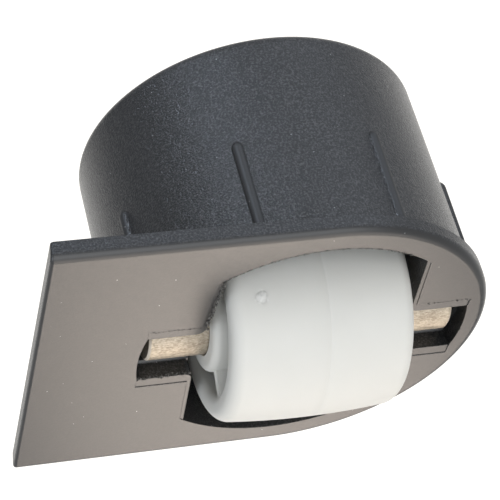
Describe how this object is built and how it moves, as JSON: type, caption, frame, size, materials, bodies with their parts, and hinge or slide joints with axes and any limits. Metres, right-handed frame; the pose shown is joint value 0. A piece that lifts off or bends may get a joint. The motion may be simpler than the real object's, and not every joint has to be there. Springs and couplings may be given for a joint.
{
  "type": "recessed furniture roller",
  "caption": "Press-in furniture roller: a pale crowned roller on a steel axle, held in a black round cup with a D-shaped flange that fits a drilled hole.",
  "frame": {"origin": "on the cup's axis, in the plane of the flange's mounting face", "axes": "+Z along the cup into the furniture (up in use), +X along the axle towards the flange's round end, Y the rolling direction"},
  "size_m": [0.0449, 0.0368, 0.0309],
  "materials": {
    "housing_plastic": "moulded, fine spark-eroded grain, satin",
    "roller_plastic": "moulded, smooth satin",
    "axle_steel": "drawn pin, dull plating"
  },
  "bodies": {
    "housing": {"housing": "housing_plastic", "axle": "axle_steel"},
    "roller": {"roller": "roller_plastic"}
  },
  "joints": [
    {"name": "roller_spin", "type": "hinge", "parent": "housing", "child": "roller", "pos_m": [0, 0, 0.0021], "axis": [1, 0, 0], "continuous": true}
  ]
}
